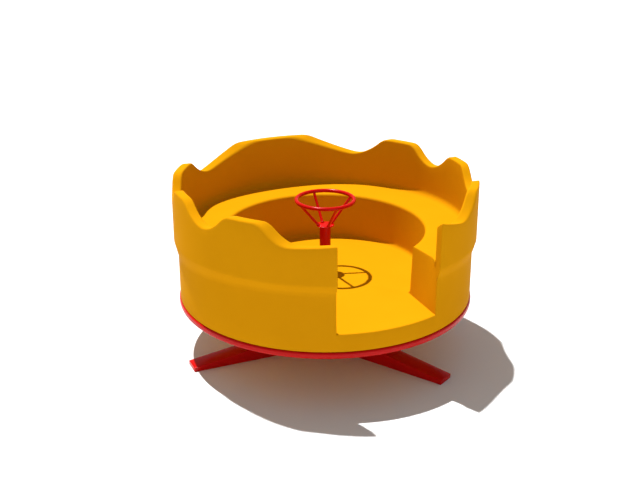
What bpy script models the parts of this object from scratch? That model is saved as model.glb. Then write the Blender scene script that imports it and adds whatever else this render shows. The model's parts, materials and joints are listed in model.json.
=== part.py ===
"""Kiddie carousel: a round plastic tub with a crown rim and a ring bench, turning on a three-legged
steel base, with a fixed wheel on a post in the middle. Metres, +Z up, the doorway faces -Y."""

import math

import bmesh
import bpy
from mathutils import Matrix, Vector

# Driving dimensions, in metres
GAP = 0.0003                # between two pieces that touch
TUB_RADIUS = 0.750          # outer face of the tub's lower wall
CROWN_RADIUS = 0.7695       # outer face of the wall above its shoulder
WALL_INNER_RADIUS = 0.723
TUB_BOTTOM = 0.320          # height of the tub's lower edge over the ground
FLOOR_TOP = 0.412
FLOOR_SKIN = 0.010
SEAT_TOP = 0.6605
SHOULDER_LOW = 0.5375       # where the wall starts to widen, away from the shoulder's swell
SHOULDER_HIGH = 0.6275
SWELL_ANGLE = -40.0         # the shoulder lies highest here, and lowest a quarter turn away
SWELL_LOW = 0.075           # how far its start rises there
SWELL_HIGH = 0.030          # how far its end rises there
RIM_VALLEY = 0.8325         # lowest height of the wavy rim
RIM_PEAK = 0.9355
RIM_ROUNDING = 0.015
EDGE_ROUNDING = 0.006
BENCH_INNER_RADIUS = 0.5085
BENCH_NOSE = 0.015          # rounding of the bench's front edge
SEAT_FILLET = 0.034         # between the seat and the wall behind it
RISER_FILLET = 0.022        # between the bench's front and the floor

# Doorway: half widths at the floor, and how far its sides lean out as they rise
DOOR_HALF_WIDTH = 0.2565
JAMB_LEAN = 0.0137
BENCH_END_HALF_WIDTH = 0.2590
BENCH_END_LEAN = 0.0897

# Crown rim, in degrees from the doorway's middle, on the outer face.
# Each flat peak runs between two angles and falls to a valley on both sides.
# A valley has its angle, and its height over the lowest one.
RIGHT_PEAKS = ((48.3, 61.0), (80.0, 92.2), (113.4, 127.6), (163.0, 180.0))
RIGHT_VALLEYS = ((34.5, 0.0), (70.0, 0.0085), (103.5, 0.0095), (141.2, 0.006))
LEFT_PEAKS = ((47.3, 60.5), (84.0, 95.0), (114.5, 129.0), (163.0, 180.0))
LEFT_VALLEYS = ((37.0, 0.004), (71.5, 0.011), (105.0, 0.0085), (142.0, 0.0105))
RIGHT_JAMB_LIFT = 0.051     # how far the rim has risen again where the doorway cuts it
LEFT_JAMB_LIFT = 0.0125
JAMB_ANGLE = 19.5
JAMB_POWER = 1.25
RAMP_POWER = 1.9
REAR_RAMP_POWER = 1.35
CROWN_LEAN_REAR = 0.65      # 0 cuts the waves radially through the wall, 1 cuts them straight across the tub
CROWN_LEAN_FRONT = 1.0

# Segments of the round wall and the bench, as angles from the doorway's middle
SEGMENT_ENDS = (60.0, 100.0, 140.0, 180.0)
WALL_STEP = 2.5
BENCH_STEP = 5.0

# Underside of the tub, and the turntable frame that carries it
UNDERSIDE_SKIN = 0.006
HOLE_RADIUS = 0.034         # hole for the post in the tub's floor and underside
RIM_RADIUS = 0.756
RIM_WIDTH = 0.008
RIM_BOTTOM = 0.288
RIB_WIDTH = 0.040
RIB_COUNT = 6
HOUSING_RADIUS = 0.085
HOUSING_FLANGE_RADIUS = 0.120
HOUSING_FLANGE = 0.010
SPINDLE_CLEARANCE = 0.0007  # between the post and the bores that turn round it
RUNNING_GAP = 0.005

# Base
HUB_APOTHEM = 0.110
LEG_WIDTH = 0.096
LEG_REACH = 0.740
LEG_TIP_HEIGHT = 0.0224
LEG_SLOPE = 0.135
LEG_ANGLES = {"leg_left": -90.0, "leg_front": 30.0, "leg_rear": 150.0}
PEDESTAL_RADIUS = 0.075
PEDESTAL_TOP = 0.200
PEDESTAL_FLANGE_RADIUS = 0.105
PEDESTAL_FLANGE = 0.015

# Post and wheel
POST_RADIUS = 0.0285
POST_TOP = 0.6628
CAP_RADIUS = 0.046
CAP_THICKNESS = 0.006
BUSH_RADIUS = 0.060
BUSH_THICKNESS = 0.012
WHEEL_RADIUS = 0.1465
WHEEL_HEIGHT = 0.8015
WHEEL_TUBE_RADIUS = 0.010
SPOKE_RADIUS = 0.007
SPOKE_FOOT_RADIUS = 0.036

FULL_TURN_STEPS = 64


def clear_scene():
    for obj in list(bpy.data.objects):
        bpy.data.objects.remove(obj, do_unlink=True)


def new_collection(name):
    collection = bpy.data.collections.new(name)
    bpy.context.scene.collection.children.link(collection)
    return collection


def new_material(name, colour, roughness, metallic=0.0):
    material = bpy.data.materials.new(name)
    material.use_nodes = True
    shader = material.node_tree.nodes["Principled BSDF"]
    shader.inputs["Base Color"].default_value = (*colour, 1.0)
    shader.inputs["Roughness"].default_value = roughness
    shader.inputs["Metallic"].default_value = metallic
    return material


clear_scene()
PARTS = new_collection("kiddie_carousel")
YELLOW = new_material("moulded_yellow_plastic", (0.90, 0.45, 0.01), 0.40)
RED = new_material("red_gloss_paint", (0.60, 0.01, 0.01), 0.25)
BLACK = new_material("black_bush_plastic", (0.02, 0.02, 0.02), 0.50)


def place(obj, material):
    """Give an object its material and put it in the carousel's collection only."""
    for collection in list(obj.users_collection):
        collection.objects.unlink(obj)
    PARTS.objects.link(obj)
    obj.data.materials.clear()
    obj.data.materials.append(material)
    return obj


def object_from_bmesh(name, bm, material):
    bmesh.ops.recalc_face_normals(bm, faces=bm.faces)
    mesh = bpy.data.meshes.new(name)
    bm.to_mesh(mesh)
    bm.free()
    return place(bpy.data.objects.new(name, mesh), material)


def direction(degrees):
    """Unit vector at an angle from the doorway's middle, which is -Y, towards +X."""
    angle = math.radians(degrees)
    return Vector((math.sin(angle), -math.cos(angle), 0.0))


def arc_points(centre_r, centre_z, radius, start, stop, steps):
    """Points of a rounded corner in a profile; 0 degrees is outwards and 90 is up."""
    points = []
    for step in range(steps + 1):
        angle = math.radians(start + (stop - start) * step / steps)
        points.append((centre_r + radius * math.cos(angle), centre_z + radius * math.sin(angle)))
    return points


def turned(name, profile, material, steps=FULL_TURN_STEPS):
    """Full turn of a closed profile, given down its outer side, with a Screw modifier."""
    mesh = bpy.data.meshes.new(name)
    count = len(profile)
    edges = [(i, (i + 1) % count) for i in range(count)]
    mesh.from_pydata([(r, 0.0, z) for r, z in profile], edges, [])
    obj = place(bpy.data.objects.new(name, mesh), material)
    screw = obj.modifiers.new("turn", "SCREW")
    screw.steps = steps
    screw.render_steps = steps
    screw.use_merge_vertices = True
    screw.merge_threshold = 0.0001
    return obj


def spun_segment(profile, start, stop, step):
    """Solid arc of a closed profile between two angles, as a bmesh."""
    bm = bmesh.new()
    along = direction(start)
    verts = [bm.verts.new((along.x * r, along.y * r, z)) for r, z in profile]
    face = bm.faces.new(verts)
    bmesh.ops.spin(
        bm, geom=[face, *face.edges, *face.verts], cent=(0, 0, 0), axis=(0, 0, 1),
        angle=math.radians(stop - start), steps=max(1, round((stop - start) / step)), use_merge=False)
    bmesh.ops.remove_doubles(bm, verts=bm.verts, dist=0.00001)
    return bm


def cut_away(bm, point, normal):
    """Remove what lies beyond a plane and close the cut."""
    geometry = [*bm.verts, *bm.edges, *bm.faces]
    result = bmesh.ops.bisect_plane(bm, geom=geometry, plane_co=point, plane_no=normal, clear_outer=True)
    rim = [item for item in result["geom_cut"] if isinstance(item, bmesh.types.BMEdge)]
    bmesh.ops.edgenet_fill(bm, edges=rim)


def side_plane(side, half_width, lean):
    """Point and outward normal of a doorway side that leans out as it rises."""
    return Vector((side * half_width, 0.0, FLOOR_TOP)), Vector((-side, 0.0, lean))


def crown_height(degrees, radius):
    """Height of the rim over its lowest valley, at an angle from the doorway's middle and a radius."""
    angle = math.radians((degrees + 180.0) % 360.0 - 180.0)
    peaks, valleys, lift = RIGHT_PEAKS, RIGHT_VALLEYS, RIGHT_JAMB_LIFT
    if angle < 0.0:
        peaks, valleys, lift = LEFT_PEAKS, LEFT_VALLEYS, LEFT_JAMB_LIFT
    towards_front = (1.0 + math.cos(angle)) / 2.0
    lean = CROWN_LEAN_REAR + (CROWN_LEAN_FRONT - CROWN_LEAN_REAR) * towards_front
    cut_radius = CROWN_RADIUS - lean * (CROWN_RADIUS - radius)
    angle = math.degrees(math.acos(max(-1.0, min(1.0, cut_radius * math.cos(angle) / CROWN_RADIUS))))
    valley, low = valleys[0]
    if angle <= valley:
        return low + lift * ((valley - angle) / (valley - JAMB_ANGLE)) ** JAMB_POWER
    rise = RIM_PEAK - RIM_VALLEY
    last_peak = len(peaks) - 1
    for index, (start, stop) in enumerate(peaks):
        valley, low = valleys[index]
        if angle < start:
            power = REAR_RAMP_POWER if index == last_peak else RAMP_POWER
            return low + (rise - low) * ((angle - valley) / (start - valley)) ** power
        if angle <= stop or index == last_peak:
            return rise
        valley, low = valleys[index + 1]
        if angle <= valley:
            return low + (rise - low) * ((valley - angle) / (valley - stop)) ** RAMP_POWER
    return rise


def shoulder_swell(degrees):
    """Share of the shoulder's full swell at an angle from the doorway's middle."""
    return max(0.0, math.cos(math.radians(degrees - SWELL_ANGLE))) ** 2


def segment_ranges(first):
    """Names and angles of the four segments of each half, the first starting at the doorway."""
    ranges = []
    for side, label in ((1, "right"), (-1, "left")):
        start = first
        for number, stop in enumerate(SEGMENT_ENDS, 1):
            low, high = sorted((side * start, side * stop))
            ranges.append((f"{label}_{number}", side, number == 1, low, high))
            start = stop
    return ranges


def build_walls():
    """Eight segments of the tub's wall, from the turntable up to the wavy rim."""
    r = RIM_ROUNDING
    profile = [(WALL_INNER_RADIUS, TUB_BOTTOM), (TUB_RADIUS - EDGE_ROUNDING, TUB_BOTTOM)]
    profile += [(TUB_RADIUS, TUB_BOTTOM + EDGE_ROUNDING), (TUB_RADIUS, SHOULDER_LOW)]
    profile += [(CROWN_RADIUS, SHOULDER_HIGH)]
    profile += arc_points(CROWN_RADIUS - r, RIM_VALLEY - r, r, 0, 90, 2)
    profile += arc_points(WALL_INNER_RADIUS + r, RIM_VALLEY - r, r, 90, 180, 2)
    joint_turn = math.degrees(GAP / (2 * WALL_INNER_RADIUS))
    for name, side, at_door, low, high in segment_ranges(15.0):
        bm = spun_segment(profile, low + joint_turn, high - joint_turn, WALL_STEP)
        for vert in bm.verts:
            angle = math.degrees(math.atan2(vert.co.x, -vert.co.y))
            if vert.co.z > SHOULDER_HIGH + GAP:
                vert.co.z += crown_height(angle, math.hypot(vert.co.x, vert.co.y))
            elif vert.co.z > SHOULDER_HIGH - GAP:
                vert.co.z += SWELL_HIGH * shoulder_swell(angle)
            elif vert.co.z > SHOULDER_LOW - GAP:
                vert.co.z += SWELL_LOW * shoulder_swell(angle)
        if at_door:
            cut_away(bm, *side_plane(side, DOOR_HALF_WIDTH, JAMB_LEAN))
        object_from_bmesh(f"wall_{name}", bm, YELLOW)


def build_bench():
    """Eight segments of the ring bench, with a rounded front edge and fillets at both ends."""
    outer = WALL_INNER_RADIUS - 0.0005
    bottom = FLOOR_TOP + GAP
    nose = arc_points(BENCH_INNER_RADIUS + BENCH_NOSE, SEAT_TOP - BENCH_NOSE, BENCH_NOSE, 180, 90, 2)
    riser_foot = arc_points(BENCH_INNER_RADIUS - RISER_FILLET, bottom + RISER_FILLET, RISER_FILLET, -80, 0, 2)
    back = arc_points(outer - SEAT_FILLET, SEAT_TOP + SEAT_FILLET, SEAT_FILLET, -90, -10, 2)
    profile = [(outer, bottom), (riser_foot[0][0], bottom), *riser_foot, *nose, *back, (outer, back[-1][1])]
    joint_turn = math.degrees(GAP / (2 * BENCH_INNER_RADIUS))
    for name, side, at_door, low, high in segment_ranges(15.0):
        bm = spun_segment(profile, low + joint_turn, high - joint_turn, BENCH_STEP)
        if at_door:
            cut_away(bm, *side_plane(side, BENCH_END_HALF_WIDTH, BENCH_END_LEAN))
        object_from_bmesh(f"bench_{name}", bm, YELLOW)


def build_floor():
    """Floor of the tub, and the sill that fills the wall's gap at the doorway."""
    outer = WALL_INNER_RADIUS - 0.0005
    hole = HOLE_RADIUS
    turned("tub_floor", [
        (outer, FLOOR_TOP), (outer, FLOOR_TOP - FLOOR_SKIN), (hole, FLOOR_TOP - FLOOR_SKIN), (hole, FLOOR_TOP),
    ], YELLOW)
    profile = [(WALL_INNER_RADIUS, TUB_BOTTOM), (TUB_RADIUS - EDGE_ROUNDING, TUB_BOTTOM)]
    profile += [(TUB_RADIUS, TUB_BOTTOM + EDGE_ROUNDING), (TUB_RADIUS, FLOOR_TOP - EDGE_ROUNDING)]
    profile += [(TUB_RADIUS - EDGE_ROUNDING, FLOOR_TOP), (WALL_INNER_RADIUS, FLOOR_TOP)]
    bm = spun_segment(profile, -25.0, 25.0, WALL_STEP)
    for side in (1, -1):
        point, normal = side_plane(side, DOOR_HALF_WIDTH - GAP, JAMB_LEAN)
        cut_away(bm, point, -normal)
    object_from_bmesh("door_sill", bm, YELLOW)


def build_turntable():
    """Underside of the tub, the steel rim and ribs below it, and the housing that turns round the post."""
    top = TUB_BOTTOM - GAP
    under = top - UNDERSIDE_SKIN
    rim_inner = RIM_RADIUS - RIM_WIDTH
    rounding = EDGE_ROUNDING
    turned("turntable_rim", [
        (rim_inner, top), *arc_points(RIM_RADIUS - rounding, top - rounding, rounding, 90, 0, 2),
        *arc_points(RIM_RADIUS - rounding, RIM_BOTTOM + rounding, rounding, 0, -90, 2), (rim_inner, RIM_BOTTOM),
    ], RED)
    underside_radius = (rim_inner - GAP) * math.cos(math.pi / FULL_TURN_STEPS)
    turned("tub_underside", [
        (underside_radius, top), (underside_radius, under), (HOLE_RADIUS, under), (HOLE_RADIUS, top),
    ], YELLOW)
    bore = POST_RADIUS + SPINDLE_CLEARANCE
    housing_top = under - GAP
    flange_under = housing_top - HOUSING_FLANGE
    housing_bottom = PEDESTAL_TOP + PEDESTAL_FLANGE + GAP + RUNNING_GAP
    turned("bearing_housing", [
        (HOUSING_FLANGE_RADIUS, housing_top), (HOUSING_FLANGE_RADIUS, flange_under),
        (HOUSING_RADIUS, flange_under), (HOUSING_RADIUS, housing_bottom),
        (bore, housing_bottom), (bore, housing_top),
    ], RED, steps=32)
    rib_start = HOUSING_FLANGE_RADIUS + GAP
    rib_stop = rim_inner * math.cos(math.pi / FULL_TURN_STEPS) - 0.0006
    for number in range(RIB_COUNT):
        bm = bmesh.new()
        size = (RIB_WIDTH, rib_stop - rib_start, housing_top - RIM_BOTTOM - 0.0005)
        centre = (0.0, -(rib_start + rib_stop) / 2, (housing_top + RIM_BOTTOM + 0.0005) / 2)
        bmesh.ops.create_cube(bm, size=1.0, matrix=Matrix.Translation(centre) @ Matrix.Diagonal((*size, 1.0)))
        turn = Matrix.Rotation(math.radians(30.0 + 360.0 * number / RIB_COUNT), 4, "Z")
        bmesh.ops.transform(bm, matrix=turn, verts=bm.verts)
        object_from_bmesh(f"turntable_rib_{number + 1}", bm, RED)
    turned("floor_bush", [
        (BUSH_RADIUS, FLOOR_TOP + GAP + BUSH_THICKNESS), (BUSH_RADIUS, FLOOR_TOP + GAP),
        (bore, FLOOR_TOP + GAP), (bore, FLOOR_TOP + GAP + BUSH_THICKNESS),
    ], BLACK, steps=32)


def leg_height(radius):
    return LEG_TIP_HEIGHT + LEG_SLOPE * (LEG_REACH - radius)


def build_base():
    """Hexagonal hub on the ground, three tapered legs, and the pedestal under the turntable."""
    hub_top = leg_height(HUB_APOTHEM)
    bm = bmesh.new()
    bmesh.ops.create_cone(
        bm, cap_ends=True, segments=6, radius1=HUB_APOTHEM / math.cos(math.pi / 6),
        radius2=HUB_APOTHEM / math.cos(math.pi / 6), depth=hub_top,
        matrix=Matrix.Translation((0, 0, hub_top / 2)))
    object_from_bmesh("hub_block", bm, RED)
    for name, angle in LEG_ANGLES.items():
        bm = bmesh.new()
        bmesh.ops.create_cube(bm, size=1.0)
        for vert in bm.verts:
            radius = LEG_REACH if vert.co.y < 0 else HUB_APOTHEM + GAP
            height = leg_height(radius) if vert.co.z > 0 else 0.0
            vert.co = Vector((vert.co.x * LEG_WIDTH, -radius, height))
        bmesh.ops.transform(bm, matrix=Matrix.Rotation(math.radians(angle), 4, "Z"), verts=bm.verts)
        object_from_bmesh(name, bm, RED)
    build_cylinder("pedestal_tube", PEDESTAL_RADIUS, hub_top + GAP, PEDESTAL_TOP - GAP, RED, 32)
    build_cylinder("pedestal_flange", PEDESTAL_FLANGE_RADIUS, PEDESTAL_TOP, PEDESTAL_TOP + PEDESTAL_FLANGE, RED, 32)


def build_cylinder(name, radius, bottom, top, material, segments):
    bm = bmesh.new()
    bmesh.ops.create_cone(
        bm, cap_ends=True, segments=segments, radius1=radius, radius2=radius, depth=top - bottom,
        matrix=Matrix.Translation((0, 0, (top + bottom) / 2)))
    return object_from_bmesh(name, bm, material)


def build_wheel():
    """Fixed post with a cap, four leaning spokes and the wheel that riders pull on."""
    build_cylinder("centre_post", POST_RADIUS, PEDESTAL_TOP + PEDESTAL_FLANGE + GAP, POST_TOP, RED, 32)
    cap_top = POST_TOP + GAP + CAP_THICKNESS
    build_cylinder("post_cap", CAP_RADIUS, POST_TOP + GAP, cap_top, RED, 32)
    bpy.ops.mesh.primitive_torus_add(
        major_segments=40, minor_segments=8, major_radius=WHEEL_RADIUS, minor_radius=WHEEL_TUBE_RADIUS,
        location=(0, 0, WHEEL_HEIGHT))
    ring = bpy.context.object
    ring.name = "wheel_ring"
    place(ring, RED)
    lean = math.atan2(WHEEL_RADIUS - SPOKE_FOOT_RADIUS, WHEEL_HEIGHT - cap_top)
    foot_height = cap_top + GAP + SPOKE_RADIUS * math.sin(lean)
    for number in range(4):
        out = direction(90.0 * number)
        foot = out * SPOKE_FOOT_RADIUS + Vector((0, 0, foot_height))
        head = out * WHEEL_RADIUS + Vector((0, 0, WHEEL_HEIGHT))
        head -= (head - foot).normalized() * (WHEEL_TUBE_RADIUS + GAP)
        curve = bpy.data.curves.new(f"wheel_spoke_{number + 1}", "CURVE")
        curve.dimensions = "3D"
        curve.bevel_depth = SPOKE_RADIUS
        curve.bevel_resolution = 2
        curve.use_fill_caps = True
        spline = curve.splines.new("POLY")
        spline.points.add(1)
        spline.points[0].co = (*foot, 1.0)
        spline.points[1].co = (*head, 1.0)
        place(bpy.data.objects.new(f"wheel_spoke_{number + 1}", curve), RED)


def smooth_round_pieces():
    for obj in PARTS.objects:
        if obj.type == "MESH":
            obj.data.shade_smooth()
            obj.data.set_sharp_from_angle(angle=math.radians(35))


build_base()
build_turntable()
build_floor()
build_bench()
build_walls()
build_wheel()
smooth_round_pieces()
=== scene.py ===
# %% [markdown]
# # Kiddie carousel: finish and fine shape
#
# A small playground carousel is a round plastic tub that children climb into. It turns on a steel frame,
# and in its middle stands a fixed post with a hand wheel, which the riders pull themselves round with.
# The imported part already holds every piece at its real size. This script loads it, gives the pieces the
# surfaces of the real ones, and builds finer shapes where the plain solids are too coarse to look at.

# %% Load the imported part
import json
import math

import bmesh
import bpy
from mathutils import Matrix, Vector


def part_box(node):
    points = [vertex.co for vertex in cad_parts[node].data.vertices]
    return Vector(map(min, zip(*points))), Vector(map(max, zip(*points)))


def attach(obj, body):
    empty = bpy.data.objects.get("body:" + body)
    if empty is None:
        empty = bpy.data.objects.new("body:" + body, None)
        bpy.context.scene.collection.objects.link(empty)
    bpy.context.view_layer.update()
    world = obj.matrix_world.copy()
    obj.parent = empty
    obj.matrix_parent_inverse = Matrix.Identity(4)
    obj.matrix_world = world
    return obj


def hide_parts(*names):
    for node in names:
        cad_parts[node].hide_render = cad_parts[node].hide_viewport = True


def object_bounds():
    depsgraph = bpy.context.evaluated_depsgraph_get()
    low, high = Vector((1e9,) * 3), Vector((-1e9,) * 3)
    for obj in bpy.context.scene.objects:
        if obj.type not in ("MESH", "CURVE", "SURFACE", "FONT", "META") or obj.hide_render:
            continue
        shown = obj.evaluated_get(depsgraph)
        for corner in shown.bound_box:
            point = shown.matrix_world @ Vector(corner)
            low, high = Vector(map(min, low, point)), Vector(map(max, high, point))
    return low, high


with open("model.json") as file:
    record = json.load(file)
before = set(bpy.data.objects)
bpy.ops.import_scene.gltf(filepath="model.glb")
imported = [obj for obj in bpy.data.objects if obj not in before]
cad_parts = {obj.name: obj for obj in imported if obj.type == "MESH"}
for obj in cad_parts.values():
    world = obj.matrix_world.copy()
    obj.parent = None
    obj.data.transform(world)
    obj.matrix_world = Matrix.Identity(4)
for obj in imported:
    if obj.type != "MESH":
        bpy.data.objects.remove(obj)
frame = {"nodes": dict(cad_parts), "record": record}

cad_low, cad_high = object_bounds()
print("CAD box, in metres:", [round(b - a, 4) for a, b in zip(cad_low, cad_high)])

# %% [markdown]
# ## Camera
#
# The photograph looks down at the tub by some 20 degrees, with the doorway turned to the right. The place
# and direction below come from fitting circles, such as the tub's lower edge and the wheel, to their
# outlines in the picture. The picture stays 640 pixels wide, so the focal length in pixels turns straight
# into a lens for a 36 mm wide sensor.

# %% Camera at the photograph's angle
PICTURE_WIDTH = 640
FOCAL_LENGTH_PIXELS = 1050
SENSOR_WIDTH_MM = 36.0
CAMERA_PLACE = Vector((-2.057, -4.598, 2.539))
CAMERA_LOOK = Vector((0.3762, 0.8529, -0.3621))

camera_data = bpy.data.cameras.new("camera")
camera_data.sensor_width = SENSOR_WIDTH_MM
camera_data.lens = FOCAL_LENGTH_PIXELS / PICTURE_WIDTH * SENSOR_WIDTH_MM
camera = bpy.data.objects.new("camera", camera_data)
camera.location = CAMERA_PLACE
camera.rotation_euler = CAMERA_LOOK.to_track_quat("-Z", "Y").to_euler()
bpy.context.scene.collection.objects.link(camera)
bpy.context.scene.camera = camera
print("lens:", round(camera_data.lens, 2), "mm")

# %% [markdown]
# ## Helpers for materials
#
# Colours are written as the hex values a designer would pick on a screen, and one function turns them
# into the linear values a renderer works in. One more function adds a shader node with its settings
# and links, so that every material below reads as a short list of what happens to the surface. A Mix
# node has one set of sockets for each kind of data, all with the same names, so the three that mix
# colours are picked by their number.

# %% Colour and node helpers
COLOUR_A = 6
COLOUR_B = 7
COLOUR_RESULT = 2


def hex_colour(text):
    """Linear RGBA for an sRGB hex colour such as F3A70C."""
    channels = [int(text[i:i + 2], 16) / 255.0 for i in (0, 2, 4)]
    linear = [c / 12.92 if c <= 0.04045 else ((c + 0.055) / 1.055) ** 2.4 for c in channels]
    return (*linear, 1.0)


def add_node(tree, kind, settings=None, **inputs):
    """Add a node; an input is a value, or a socket of another node to link from."""
    node = tree.nodes.new(kind)
    for name, value in (settings or {}).items():
        setattr(node, name, value)
    for name, value in inputs.items():
        socket = node.inputs[name.replace("_", " ")]
        if isinstance(value, bpy.types.NodeSocket):
            tree.links.new(value, socket)
        else:
            socket.default_value = value
    return node


def new_surface(name, **values):
    """An empty material with a Principled shader; returns the material, its tree, shader and place."""
    material = bpy.data.materials.new(name)
    material.use_nodes = True
    tree = material.node_tree
    shader = tree.nodes["Principled BSDF"]
    for key_name, value in values.items():
        shader.inputs[key_name.replace("_", " ")].default_value = value
    place = add_node(tree, "ShaderNodeTexCoord").outputs["Object"]
    return material, tree, shader, place


def per_metre(millimetres):
    """Noise scale whose patches are about this size."""
    return 1000.0 / millimetres


print("sRGB 808080 is linear", round(hex_colour("808080")[0], 4))

# %% [markdown]
# ## Studio
#
# One high key light comes from behind the tub, a little to the left, and white screens stand all round.
# The key is a sun lamp, because its shadows stay parallel as in the picture, with a disc wide enough to
# soften their edges. The screens are brightest low down, near the floor: they fill the shaded outer wall,
# while the inside of the tub looks up past them and keeps its deep, warm shade. The screens are no
# objects: the world's brightness, read from the height of each direction, stands for them.

# %% Key light and screens
KEY_STRENGTH = 5.8
KEY_ELEVATION = 73.0          # degrees over the floor
KEY_SHADOW_DIRECTION = 21.0   # degrees from -Y towards +X, where shadows fall
KEY_DISC = 1.2                # degrees across, which sets how soft the shadows are
SCREEN_BRIGHT = 3.0           # degrees over the floor, up to which the screens are at their brightest
SCREEN_TOP = 16.0             # degrees over the floor, where the screens end
SCREEN_STRENGTH = 1.0
SKY_STRENGTH = 0.36


def direction(degrees):
    """Level unit vector at an angle from the doorway's middle, which is -Y, towards +X."""
    angle = math.radians(degrees)
    return Vector((math.sin(angle), -math.cos(angle), 0.0))


elevation = math.radians(KEY_ELEVATION)
key_look = direction(KEY_SHADOW_DIRECTION) * math.cos(elevation) - Vector((0, 0, math.sin(elevation)))
key_data = bpy.data.lights.new("key_light", "SUN")
key_data.energy = KEY_STRENGTH
key_data.angle = math.radians(KEY_DISC)
key = bpy.data.objects.new("key_light", key_data)
key.rotation_euler = key_look.to_track_quat("-Z", "Y").to_euler()
bpy.context.scene.collection.objects.link(key)

world = bpy.data.worlds.new("studio_screens")
world.use_nodes = True
sky = world.node_tree
look = add_node(sky, "ShaderNodeTexCoord").outputs["Generated"]
height = add_node(sky, "ShaderNodeSeparateXYZ", Vector=look).outputs["Z"]
fall = add_node(
    sky, "ShaderNodeMapRange", {"interpolation_type": "SMOOTHSTEP"}, Value=height,
    From_Min=math.sin(math.radians(SCREEN_BRIGHT)), From_Max=math.sin(math.radians(SCREEN_TOP)),
    To_Min=SCREEN_STRENGTH, To_Max=SKY_STRENGTH)
sky.links.new(fall.outputs["Result"], sky.nodes["Background"].inputs["Strength"])
sky.nodes["Background"].inputs["Color"].default_value = (1.0, 1.0, 1.0, 1.0)
bpy.context.scene.world = world
bpy.context.scene.view_settings.view_transform = "Standard"
print("key from", KEY_ELEVATION, "degrees, screens up to", SCREEN_TOP, "degrees")

# %% [markdown]
# ## Rotomoulded polyethylene
#
# The tub is rotomoulded: plastic powder melts onto the inside of a hot turning mould. The wall keeps the
# mould's blasted skin, so it is satin and not glossy, with a very fine pebble. No highlight shows on it in
# the photograph, so its specular level is close to nothing. Where the melt ran thicker, the yellow is a
# touch deeper, in patches a hand or two wide. The pebble on a real tub is about 1 mm, under a pixel here,
# so it is drawn at 5 mm, shallow, and a long low ripple keeps the broad faces alive.

# %% Yellow plastic
YELLOW_MAIN = "CB8B09"
YELLOW_DEEP = "C68507"
MELT_PATCH_MM = 220.0
SHEEN_PATCH_MM = 60.0
SATIN_ROUGHNESS = (0.36, 0.48)
RIPPLE_MM = 90.0
RIPPLE_DEPTH = 0.002
PEBBLE_MM = 5.0
PEBBLE_DEPTH = 0.0006


def rotomoulded_polyethylene():
    material, tree, shader, place = new_surface(
        "polyethylene_rotomoulded_satin", IOR=1.51, Specular_IOR_Level=0.001)
    patches = add_node(tree, "ShaderNodeTexNoise", Vector=place, Scale=per_metre(MELT_PATCH_MM), Detail=3.0)
    tones = add_node(tree, "ShaderNodeMix", {"data_type": "RGBA"}, Factor=patches.outputs["Fac"])
    tones.inputs[COLOUR_A].default_value = hex_colour(YELLOW_DEEP)
    tones.inputs[COLOUR_B].default_value = hex_colour(YELLOW_MAIN)
    tree.links.new(tones.outputs[COLOUR_RESULT], shader.inputs["Base Color"])
    sheen = add_node(tree, "ShaderNodeTexNoise", Vector=place, Scale=per_metre(SHEEN_PATCH_MM), Detail=2.0)
    rough = add_node(
        tree, "ShaderNodeMapRange", Value=sheen.outputs["Fac"],
        To_Min=SATIN_ROUGHNESS[0], To_Max=SATIN_ROUGHNESS[1])
    tree.links.new(rough.outputs["Result"], shader.inputs["Roughness"])
    ripple = add_node(tree, "ShaderNodeTexNoise", Vector=place, Scale=per_metre(RIPPLE_MM), Detail=1.0)
    low_bump = add_node(
        tree, "ShaderNodeBump", Height=ripple.outputs["Fac"], Strength=0.25, Distance=RIPPLE_DEPTH)
    pebble = add_node(tree, "ShaderNodeTexNoise", Vector=place, Scale=per_metre(PEBBLE_MM), Detail=2.0)
    bump = add_node(
        tree, "ShaderNodeBump", Height=pebble.outputs["Fac"], Strength=0.10, Distance=PEBBLE_DEPTH,
        Normal=low_bump.outputs["Normal"])
    tree.links.new(bump.outputs["Normal"], shader.inputs["Normal"])
    return material


YELLOW = rotomoulded_polyethylene()
print("made", YELLOW.name)

# %% [markdown]
# ## Powder-coated steel
#
# The base, the rim, the post and the wheel are mild steel with a red polyester powder coat. The powder
# melts into a thick glossy film that creeps thin over edges and sets with a slight orange peel, a few
# millimetres from crest to crest. Steel under paint doesn't show as metal, so metallic stays at zero.

# %% Red paint
RED_MAIN = "BC0603"
RED_DEEP = "B20402"
COAT_CLOUD_MM = 120.0
HAZE_MM = 35.0
GLOSS_ROUGHNESS = (0.18, 0.30)
ORANGE_PEEL_MM = 4.0
ORANGE_PEEL_DEPTH = 0.0004


def powder_coated_steel():
    material, tree, shader, place = new_surface(
        "steel_powder_coated_gloss_red", IOR=1.52, Specular_IOR_Level=0.12)
    cloud = add_node(tree, "ShaderNodeTexNoise", Vector=place, Scale=per_metre(COAT_CLOUD_MM), Detail=3.0)
    tones = add_node(tree, "ShaderNodeMix", {"data_type": "RGBA"}, Factor=cloud.outputs["Fac"])
    tones.inputs[COLOUR_A].default_value = hex_colour(RED_DEEP)
    tones.inputs[COLOUR_B].default_value = hex_colour(RED_MAIN)
    tree.links.new(tones.outputs[COLOUR_RESULT], shader.inputs["Base Color"])
    haze = add_node(tree, "ShaderNodeTexNoise", Vector=place, Scale=per_metre(HAZE_MM), Detail=2.0)
    rough = add_node(
        tree, "ShaderNodeMapRange", Value=haze.outputs["Fac"],
        To_Min=GLOSS_ROUGHNESS[0], To_Max=GLOSS_ROUGHNESS[1])
    tree.links.new(rough.outputs["Result"], shader.inputs["Roughness"])
    peel = add_node(tree, "ShaderNodeTexNoise", Vector=place, Scale=per_metre(ORANGE_PEEL_MM), Detail=1.0)
    bump = add_node(
        tree, "ShaderNodeBump", Height=peel.outputs["Fac"], Strength=0.12, Distance=ORANGE_PEEL_DEPTH)
    tree.links.new(bump.outputs["Normal"], shader.inputs["Normal"])
    return material


RED = powder_coated_steel()
print("made", RED.name)

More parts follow.
